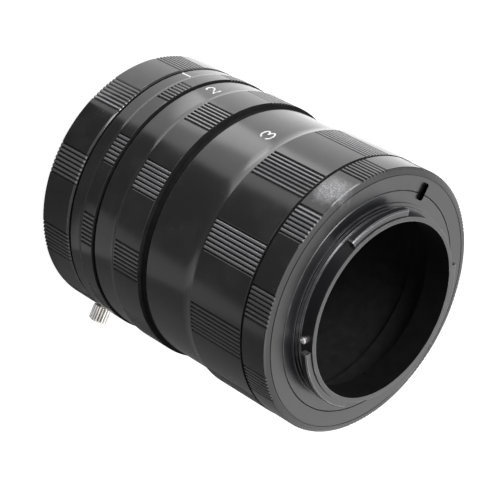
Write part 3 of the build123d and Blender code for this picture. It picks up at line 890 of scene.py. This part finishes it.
def carved(obj, cutters):
    """Cuts closed shapes out of an object and removes them."""
    for cutter in cutters:
        modifier = obj.modifiers.new("cut", "BOOLEAN")
        modifier.operation = "DIFFERENCE"
        modifier.solver = "EXACT"
        modifier.material_mode = "TRANSFER"
        modifier.object = cutter
    mesh = evaluated_mesh(obj)
    obj.modifiers.clear()
    obj.data = mesh
    for cutter in cutters:
        bpy.data.objects.remove(cutter)
    return obj


def close_rows(work, rows):
    """Makes the faces between rows of vertices and a cap at each end."""
    for first, second in zip(rows, rows[1:]):
        for index in range(len(first)):
            after = (index + 1) % len(first)
            work.faces.new((first[index], first[after], second[after], second[index]))
    work.faces.new(rows[0])
    work.faces.new(reversed(rows[-1]))


def mesh_from(name, work, material):
    """Ends a bmesh as a mesh in one material."""
    mesh = bpy.data.meshes.new(name)
    work.to_mesh(mesh)
    work.free()
    mesh.materials.append(material)
    return mesh


def bar(name, rows, material):
    """A closed mesh over rows of places that follow each other."""
    work = bmesh.new()
    close_rows(work, [[work.verts.new(place) for place in row] for row in rows])
    bmesh.ops.recalc_face_normals(work, faces=work.faces)
    return mesh_from(name, work, material)


def sector(name, corners, start, sweep, material):
    """A closed section turned through part of a circle, with flat ends."""
    steps = max(3, round(sweep / SECTOR_STEP))
    work = bmesh.new()
    wear = work.verts.layers.float.new("edge")
    rows = []
    for step in range(steps + 1):
        row = []
        for r, z, cut, edge in rounded(corners):
            vertex = work.verts.new(ring_point(r, start + sweep * step / steps, z))
            # A lug's two ends get a painted glint as well as wear
            vertex[wear] = max(edge, SECTOR_END_WEAR_AND_GLINT if step in (0, steps) else 0)
            row.append(vertex)
        rows.append(row)
    close_rows(work, rows)
    bmesh.ops.recalc_face_normals(work, faces=work.faces)
    for face in work.faces:
        face.smooth = True
    for edge in work.edges:
        edge.smooth = edge.calc_face_angle(0) < SHARP_EDGE
    return link_object(name, mesh_from(name, work, material))


def slot_block(name, size, place, square=False):
    """A closed block of a length, width and depth, for cutting, with round or square ends.

    place puts its mouth and turns it.
    """
    length, width, depth = size
    straight, steps = (length, 1) if square else (length - width, 24)
    outline = []
    for end in (1, -1):
        for step in range(steps + 1):
            angle = math.radians(-90 + 180 * step / steps)
            x = end * (straight / 2 + width / 2 * math.cos(angle))
            outline.append((x * MM, end * width / 2 * math.sin(angle) * MM))
    work = bmesh.new()
    top = [work.verts.new((x, y, MOUTH_MARGIN * MM)) for x, y in outline]
    bottom = [work.verts.new((x, y, -depth * MM)) for x, y in outline]
    work.faces.new(top)
    work.faces.new(reversed(bottom))
    for index in range(len(outline)):
        after = (index + 1) % len(outline)
        work.faces.new((top[after], top[index], bottom[index], bottom[after]))
    bmesh.ops.remove_doubles(work, verts=work.verts, dist=DOUBLE_DISTANCE * MM)
    bmesh.ops.recalc_face_normals(work, faces=work.faces)
    work.transform(place)
    return link_object(name, mesh_from(name, work, finish("matt_black")))


def outward_place(angle, radius, height):
    """A place on the outside of a ring: z outwards, x along the optical axis."""
    out = direction(angle)
    along = Vector((0, 0, 1))
    rotation = Matrix((along, out.cross(along), out)).transposed().to_4x4()
    return Matrix.Translation(out * radius * MM + along * height * MM) @ rotation


def ring(name, corners, radius, middle, material="gloss_black"):
    """A fine ring from its section, with grooves where the section asks for them."""
    sizes = bpy.context.scene.tube_sizes
    group = bpy.data.node_groups.get("knurled_ring") or knurled_ring_tree()
    values = {
        "Patches": sizes.patches,
        "Grooves": sizes.grooves,
        "Plain Steps": sizes.plain_steps,
        "Pitch": sizes.pitch,
        "Middle": math.radians(middle),
        "Radius": radius * MM,
        "Groove Width": sizes.groove_width,
        "Groove Depth": sizes.groove_depth,
        "Groove Edge": sizes.groove_edge,
        "Finish": finish(material),
    }
    return grown(name, section_mesh(name + "_section", rounded(corners)), group, values)


def neck_corners(rear):
    """The section of a neck. A lip at its end keeps light out at full travel."""
    end = rear - NECK_LENGTH
    lip_top = end + NECK_LIP_HEIGHT
    return [
        (NECK_BORE, end, 0.1, 0),
        (NECK_RADIUS + NECK_LIP, end, 0.05, 0),
        (NECK_RADIUS + NECK_LIP, lip_top, 0, 0),
        (NECK_RADIUS, lip_top + NECK_LIP_TAPER, 0, 0),
        (NECK_RADIUS, rear, 0, 0),
    ]


def bore_corners(face, top, bottom):
    """The section from a ring's outer face over its shoulder into the threaded bore."""
    return [
        (SHOULDER, face, 0, 0),
        (SHOULDER, top, 0.04, 0),
        (THREAD_BORE, top, 0.06, 0),
        (THREAD_BORE, bottom, 0, 0),
    ]


def fine_tube(index):
    """One extension tube: neck, smooth part, ramp, knurled band and threaded bore."""
    rear = JOINT_PLANES[index]
    top = JOINT_PLANES[index + 1]
    smooth = TUBES[index]["smooth"]
    band = TUBES[index]["band"]
    band_low = rear + TUBES[index]["band_start"]
    ramp_low = band_low - TUBES[index]["ramp"]
    band_top = top - FRONT_GAPS[index + 1]
    corners = [
        *neck_corners(rear),
        (smooth - EDGE_CHAMFER, rear, 0.05, 0),
        (smooth, rear + EDGE_CHAMFER, 0.08, 0),
        (smooth, ramp_low, 0, 0),
        *ramp_arc(smooth, ramp_low, band, band_low),
        (band, band_low, -0.16, 0),
        (band, band_low + KNURL_MARGIN, 0, 0),
        (band, band_low + KNURL_MARGIN + KNURL_RUN_IN, 0, 1),
        (band, band_top, 0.12, 1),
        *bore_corners(band_top, top, rear + WEB),
        (NECK_BORE, rear + WEB, 0.1, 0),
    ]
    return ring(f"fine_tube_{index + 1}", corners, band, TUBES[index]["patch"])


def thread(name, layout, plane, body):
    """A fine thread on a neck or in a bore, which rides with its ring."""
    radius, before_plane, ridge = layout
    start = plane - before_plane
    sizes = bpy.context.scene.tube_sizes
    group = bpy.data.node_groups.get("thread_ridge") or thread_tree()
    values = {
        "Radius": radius * MM,
        "Start": start * MM,
        "Pitch": sizes.thread_pitch,
        "Turns": sizes.thread_turns,
        "Ridge": ridge * MM,
        "Finish": finish("gloss_black"),
    }
    seed = section_mesh(name + "_seed", [(radius, start, 0, 0), (radius, start + 1, 0, 0)])
    obj = grown(name, seed, group, values)
    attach(obj, body)


class TUBE_OT_lens_ring(bpy.types.Operator):
    """Makes the ring on the lens side, with its rim, pocket and lock slot"""

    bl_idname = "tube.lens_ring"
    bl_label = "Lens Ring"

    def execute(self, context):
        outside = LENS_RING_RADIUS
        face = LENS_RING_TOP - FRONT_GAPS[0]
        corners = [
            (PLATE_SEAT_RADIUS, 0, 0.05, 0),
            (outside, 0, 0.12, 1),
            (outside, face - LENS_RING_CHAMFER, 0.1, 1),
            (outside - LENS_RING_CHAMFER, face, 0.08, 1),
            *bore_corners(face, LENS_RING_TOP, LENS_WEB_TOP),
            (LENS_WEB_RADIUS, LENS_WEB_TOP, 0.05, 0),
            (LENS_WEB_RADIUS, LENS_WEB_BOTTOM, 0.05, 0),
            (CHAMBER_RADIUS, LENS_WEB_BOTTOM, 0, 0),
            (CHAMBER_RADIUS, PLATE_SEAT, 0, 0),
            (PLATE_SEAT_RADIUS, PLATE_SEAT, 0, 0),
        ]
        obj = ring("fine_lens_ring", corners, outside, LENS_RING_PATCH)
        stud_place = outward_place(LOCK_ANGLE, outside, STUD_SLOT_HEIGHT)
        pocket_place = outward_place(LOCK_ANGLE, POCKET_RADIUS, POCKET_MIDDLE)
        stud_slot = slot_block("stud_slot", STUD_SLOT, stud_place)
        pocket = slot_block("pocket", POCKET, pocket_place, square=True)
        carved(obj, [stud_slot, pocket])
        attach(obj, "lens_side")
        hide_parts("lens_ring")
        return {"FINISHED"}


class TUBE_OT_tubes(bpy.types.Operator):
    """Makes the three extension tubes"""

    bl_idname = "tube.tubes"
    bl_label = "Tubes"

    def execute(self, context):
        for index in range(len(TUBES)):
            obj = fine_tube(index)
            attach(obj, BODIES[index + 1])
            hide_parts(f"tube_{index + 1}")
        return {"FINISHED"}


def lock_slot_cutter(name):
    """The slot for the camera's lock pin, which crosses the seam of the bayonet."""
    middle = Matrix.Translation(ring_point(CAMERA_SLOT_RADIUS, CAMERA_SLOT_ANGLE, FLANGE))
    turn = Matrix.Rotation(math.radians(CAMERA_SLOT_ANGLE), 4, "Z")
    return slot_block(name, CAMERA_SLOT, middle @ turn)


class TUBE_OT_camera_ring(bpy.types.Operator):
    """Makes the ring on the camera side, with its flange and lock slot"""

    bl_idname = "tube.camera_ring"
    bl_label = "Camera Ring"

    def execute(self, context):
        outside = CAMERA_RING_RADIUS
        rear = TUBE_3_TOP
        bevel_low = FLANGE - BEVEL_HEIGHT
        corners = [
            *neck_corners(rear),
            (outside - EDGE_CHAMFER, rear, 0.05, 0),
            (outside, rear + EDGE_CHAMFER, 0.04, 0),
            (outside, rear + KNURL_MARGIN, 0, 0),
            (outside, rear + KNURL_MARGIN + KNURL_RUN_IN, 0, 1),
            (outside, bevel_low, -0.1, 1),
        ]
        for step in (1, 2, 3, 4):
            inward, upward = (step * size for size in BEVEL_STEP)
            corners.append((outside - inward, bevel_low + upward, 0, 1 - step / 4))
        corners += [(radius, FLANGE - depth, 0, 0) for radius, depth in FLANGE_LINE]
        corners += [
            (CAMERA_SEAT_RADIUS + SEAM_CHAMFER, FLANGE, 0.05, 0),
            (CAMERA_SEAT_RADIUS, FLANGE - SEAM_CHAMFER, 0.03, 0),
            (CAMERA_SEAT_RADIUS, CAMERA_SEAT, 0, 0),
            (CAMERA_WEB_RADIUS, CAMERA_SEAT, 0, 0),
            (CAMERA_WEB_RADIUS, CAMERA_WEB_BOTTOM, 0.05, 0),
            (NECK_BORE, CAMERA_WEB_BOTTOM, 0, 0),
        ]
        obj = ring("fine_camera_ring", corners, outside, CAMERA_RING_PATCH)
        carved(obj, [lock_slot_cutter("ring_cut")])
        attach(obj, "camera_side")
        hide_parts("camera_ring")
        return {"FINISHED"}


class TUBE_OT_camera_bayonet(bpy.types.Operator):
    """Makes the male bayonet: plate, collar on its tapered foot, and three lugs"""

    bl_idname = "tube.camera_bayonet"
    bl_label = "Camera Bayonet"

    def execute(self, context):
        corners = [
            (COLLAR_BORE, CAMERA_SEAT, 0, 0),
            (MALE_PLATE_RADIUS, CAMERA_SEAT, 0, 0),
            (MALE_PLATE_RADIUS, FLANGE - SEAM_CHAMFER, 0.03, 0),
            (MALE_PLATE_RADIUS - SEAM_CHAMFER, FLANGE, 0.05, 0),
            *[(radius, FLANGE + height, edge, 0) for radius, height, edge in FOOT_STEPS],
            (COLLAR_RADIUS, BAYONET_END, 0.14, 0),
            (COLLAR_BORE, BAYONET_END, 0.14, 0),
        ]
        obj = ring("fine_camera_bayonet", corners, COLLAR_RADIUS, 0, "satin_black")
        carved(obj, [lock_slot_cutter("plate_cut")])
        top = BAYONET_END - LUG_SETBACK
        bottom = top - LUG_THICKNESS
        lug_corners = [
            (LUG_ROOT, bottom, 0, 0),
            (LUG_RADIUS, bottom, 0.12, 0),
            (LUG_RADIUS, top - LUG_CHAMFER, 0.08, 0),
            (LUG_RADIUS - LUG_CHAMFER, top, 0.08, 0),
            (LUG_ROOT, top, 0, 0),
        ]
        lugs = []
        for number, (middle, width) in enumerate(LUGS):
            start = middle - width / 2
            lugs.append(sector(f"lug_{number}", lug_corners, start, width, finish("satin_black")))
        with context.temp_override(active_object=obj, selected_editable_objects=[obj, *lugs]):
            bpy.ops.object.join()
        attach(obj, "camera_side")
        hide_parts("camera_bayonet")
        return {"FINISHED"}


class TUBE_OT_threads(bpy.types.Operator):
    """Makes the fine threads on the necks and in the bores"""

    bl_idname = "tube.threads"
    bl_label = "Threads"

    def execute(self, context):
        for index, plane in enumerate(JOINT_PLANES):
            thread(f"bore_thread_{index + 1}", BORE_THREAD, plane, BODIES[index])
            thread(f"neck_thread_{index + 1}", NECK_THREAD, plane, BODIES[index + 1])
        return {"FINISHED"}


def arc_points(centre, radii, start, end, steps=14):
    """Points on an arc of an ellipse."""
    points = []
    for step in range(steps + 1):
        angle = math.radians(start + (end - start) * step / steps)
        away = Vector((radii[0] * math.cos(angle), radii[1] * math.sin(angle)))
        points.append(Vector(centre) + away)
    return points


def number_lines():
    """The middle line of each number's stroke, one unit high, with its top upwards."""
    one = [Vector((0, 0.5)), Vector((0, -0.5))]
    foot = [Vector((-0.38, -0.5)), Vector((0.42, -0.5))]
    two = arc_points((0, 0.22), (0.34, 0.28), 165, -35) + foot
    upper = arc_points((0, 0.26), (0.42, 0.24), 185, -75)
    lower = arc_points((0, -0.24), (0.46, 0.26), 75, -190)
    return one, two, upper + lower


class TUBE_OT_numbers(bpy.types.Operator):
    """Makes the painted numbers on the three tubes"""

    bl_idname = "tube.numbers"
    bl_label = "Numbers"

    def execute(self, context):
        sizes = context.scene.tube_sizes
        for index, (points, (z, angle)) in enumerate(zip(number_lines(), NUMBER_PLACES)):
            name = f"number_{index + 1}"
            line = [point * sizes.digit_height for point in points]
            mesh = self.stroke(name, line, sizes.digit_stroke)
            self.lay_on_tube(mesh, TUBES[index]["smooth"] * MM, z * MM, math.radians(angle))
            obj = link_object(name, mesh)
            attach(obj, BODIES[index + 1])
        return {"FINISHED"}

    def stroke(self, name, line, width):
        """A flat ribbon of paint along a line, with a little thickness."""
        thickness = PAINT_THICKNESS * MM
        last = len(line) - 1
        rows = []
        for index, point in enumerate(line):
            before = line[max(index - 1, 0)]
            after = line[min(index + 1, last)]
            arriving = (point - before).normalized() if index else (after - point).normalized()
            leaving = (after - point).normalized() if index < last else arriving
            along = (arriving + leaving).normalized()
            mitre = max(along.dot(arriving), MITRE_LIMIT)
            across = Vector((-along.y, along.x)) * width / 2 / mitre
            left, right = point + across, point - across
            rows.append([(*left, 0), (*left, thickness), (*right, thickness), (*right, 0)])
        return bar(name, rows, finish("paint"))

    def lay_on_tube(self, mesh, radius, z, angle):
        """Lays a flat number on the tube, with its top towards the lens side."""
        for vertex in mesh.vertices:
            turn = angle - vertex.co.x / radius
            reach = radius - PAINT_SINK * MM + vertex.co.z
            vertex.co = (reach * math.cos(turn), reach * math.sin(turn), z - vertex.co.y)
        outward(mesh)


class TUBE_OT_lock_leaf(bpy.types.Operator):
    """Makes the bowed leaf that returns the lock, as it rests before the pulled lock flattens it"""

    bl_idname = "tube.lock_leaf"
    bl_label = "Lock Leaf"

    def execute(self, context):
        inner, outer = LEAF_RADII
        upper = self.bow(LEAF_HALF_LENGTH, POCKET_TOP, LEAF_BOTTOM + LEAF_THICKNESS)
        lower = self.bow(LEAF_HALF_LENGTH + LEAF_THICKNESS, POCKET_TOP, LEAF_BOTTOM)
        out = direction(LOCK_ANGLE)
        sideways = Vector((-out.y, out.x, 0))
        rows = []
        for (ux, uz), (lx, lz) in zip(upper, lower):
            row = ((inner, ux, uz), (outer, ux, uz), (outer, lx, lz), (inner, lx, lz))
            rows.append([(out * reach + sideways * x + Vector((0, 0, z))) * MM for reach, x, z in row])
        obj = link_object("fine_lock_leaf", outward(bar("fine_lock_leaf", rows, finish("spring"))))
        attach(obj, "lens_side")
        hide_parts("lock_leaf")
        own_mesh(obj)
        return {"FINISHED"}

    def bow(self, half_length, ends, middle, steps=28):
        """Points on an arc that hangs from its two ends down to its middle."""
        drop = ends - middle
        bend = (half_length * half_length + drop * drop) / (2 * drop)
        reach = math.atan2(half_length, bend - drop)
        points = []
        for step in range(steps + 1):
            angle = reach * (2 * step / steps - 1)
            points.append((bend * math.sin(angle), middle + bend * (1 - math.cos(angle))))
        return points


class TUBE_OT_small_parts(bpy.types.Operator):
    """Gives the solids their finishes"""

    bl_idname = "tube.small_parts"
    bl_label = "Small Parts"

    def execute(self, context):
        for name, nodes in SOLID_FINISHES.items():
            for node in nodes:
                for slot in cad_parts[node].material_slots:
                    slot.material = finish(name)
        return {"FINISHED"}


def lamp(name, place, target, size, power):
    """A soft lamp that looks at a point. Places and sizes in metres, power in watts."""
    data = bpy.data.lights.new(name, "AREA")
    data.shape = "RECTANGLE"
    data.size, data.size_y = size
    data.energy = power
    obj = link_object(name, data)
    obj.location = place
    aim = Vector(target) - Vector(place)
    obj.rotation_euler = aim.to_track_quat("-Z", "Y").to_euler()
    obj.visible_camera = False
    return obj


def low_lamp(name, place, turn, size, level):
    """A soft panel that lies on the floor and shines upwards. level is its radiance."""
    length, width = size
    power = level * length * width * MM * MM * math.pi
    obj = lamp(name, Vector(place) * MM, (0, 0, 0), (length * MM, width * MM), power)
    obj.rotation_euler = (math.pi, 0, math.radians(turn))


def ray_kinds(tree):
    """1 for a ray from the camera, and 1 for a ray that a surface mirrors or lets through."""
    seen = tree.add("ShaderNodeLightPath")
    return seen, seen.output("Is Glossy Ray") + seen.output("Is Transmission Ray")


class TUBE_OT_stage(bpy.types.Operator):
    """Makes the camera, the lamps, the world and the pale floor"""

    bl_idname = "tube.stage"
    bl_label = "Stage"

    def execute(self, context):
        self.camera(context)
        self.floor(context)
        self.world(context)
        lamp("key", (0.21, -0.20, 0.36), (0, 0, 0.04), size=(0.2, 0.2), power=1.8)
        low_lamp("low_key", (25.2, -90.7, -0.8), turn=-36, size=(220, 137), level=1.55)
        low_lamp("low_glow", (46.7, -91.3, -0.6), turn=-72, size=(108, 26), level=2.6)
        low_lamp("low_side", (58.0, 76.0, -0.8), turn=62, size=(110, 24), level=0.52)
        lamp("overhead", (-0.42, 0, 0.42), (0, 0, 0.07), size=(0.5, 0.5), power=1.1)
        lamp("top", (-0.17, 0, 0.62), (0, 0, 0.07), size=(0.5, 0.24), power=0.55)
        context.scene.view_settings.view_transform = "Standard"
        return {"FINISHED"}

    def camera(self, context):
        """The camera at the photograph's place."""
        data = bpy.data.cameras.new("camera")
        data.sensor_width = 36
        data.lens = CAMERA_LENS
        data.clip_start = 0.01
        obj = link_object("camera", data)
        rotation = Matrix((CAMERA_RIGHT, CAMERA_UP, CAMERA_BACK)).transposed().to_4x4()
        obj.matrix_world = Matrix.Translation(CAMERA_PLACE) @ rotation
        context.scene.camera = obj

    def floor(self, context):
        """A wide floor that takes the shadows and looks nearly white."""
        mesh = bpy.data.meshes.new("floor")
        far = FLOOR_REACH
        level = FLOOR_LEVEL * MM
        corners = [(-far, -far, level), (far, -far, level), (far, far, level), (-far, far, level)]
        mesh.from_pydata(corners, [], [(0, 1, 2, 3)])
        obj = link_object("floor", mesh)
        material, tree = new_material("pale_floor")
        pale = tuple(context.scene.tube_finish.floor_colour)
        grain = tree.noise(tree.place(), 300.0, 3.0) * 0.1
        soft = tree.add("ShaderNodeBsdfDiffuse", {"Color": tree.mix(grain, pale, darker(pale, 0.95))})
        seen, mirrored = ray_kinds(tree)
        strength = seen * FLOOR_GLOW_SEEN + mirrored.clamp() * FLOOR_GLOW_MIRRORED
        glow = tree.add("ShaderNodeEmission", {"Color": WHITE, "Strength": strength})
        tree.add("ShaderNodeOutputMaterial", [tree.add("ShaderNodeAddShader", [soft, glow])])
        mesh.materials.append(material)

    def world(self, context):
        """A white surround that lights less than it shows."""
        world = bpy.data.worlds.new("white_surround")
        context.scene.world = world
        world.use_nodes = True
        tree = Tree(world.node_tree)
        seen, mirrored = ray_kinds(tree)
        strength = SURROUND_LIGHT + (seen + mirrored).clamp() * SURROUND_SEEN
        surround = tree.add("ShaderNodeBackground", {"Color": WHITE, "Strength": strength})
        tree.add("ShaderNodeOutputWorld", [surround])


class TUBE_PT_panel(bpy.types.Panel):
    """Lists the pieces of the extension tube"""

    bl_label = PANEL_TITLE
    bl_space_type = "VIEW_3D"
    bl_region_type = "UI"
    bl_category = PANEL_TITLE

    def draw(self, context):
        """Shows the sizes, the colours and a button for each piece."""
        layout = self.layout
        for settings in (context.scene.tube_sizes, context.scene.tube_finish):
            for name in settings.bl_rna.properties.keys():
                if name not in ("rna_type", "name"):
                    layout.prop(settings, name)
        for operator in OPERATORS:
            layout.operator(operator.bl_idname)


OPERATORS = (
    TUBE_OT_stage,
    TUBE_OT_small_parts,
    TUBE_OT_lens_ring,
    TUBE_OT_lock_leaf,
    TUBE_OT_tubes,
    TUBE_OT_camera_ring,
    TUBE_OT_camera_bayonet,
    TUBE_OT_threads,
    TUBE_OT_numbers,
)
CLASSES = (TubeSizes, TubeFinish, *OPERATORS, TUBE_PT_panel)


def register():
    """Adds the classes and their settings."""
    for item in CLASSES:
        bpy.utils.register_class(item)
    bpy.types.Scene.tube_sizes = PointerProperty(type=TubeSizes)
    bpy.types.Scene.tube_finish = PointerProperty(type=TubeFinish)


def unregister():
    """Removes the settings and the classes."""
    del bpy.types.Scene.tube_sizes
    del bpy.types.Scene.tube_finish
    for item in reversed(CLASSES):
        bpy.utils.unregister_class(item)


def main():
    """Makes every piece."""
    register()
    bpy.ops.tube.stage()
    bpy.ops.tube.small_parts()
    bpy.ops.tube.lens_ring()
    bpy.ops.tube.lock_leaf()
    bpy.ops.tube.tubes()
    bpy.ops.tube.camera_ring()
    bpy.ops.tube.camera_bayonet()
    bpy.ops.tube.threads()
    bpy.ops.tube.numbers()


if __name__ == "__main__":
    main()
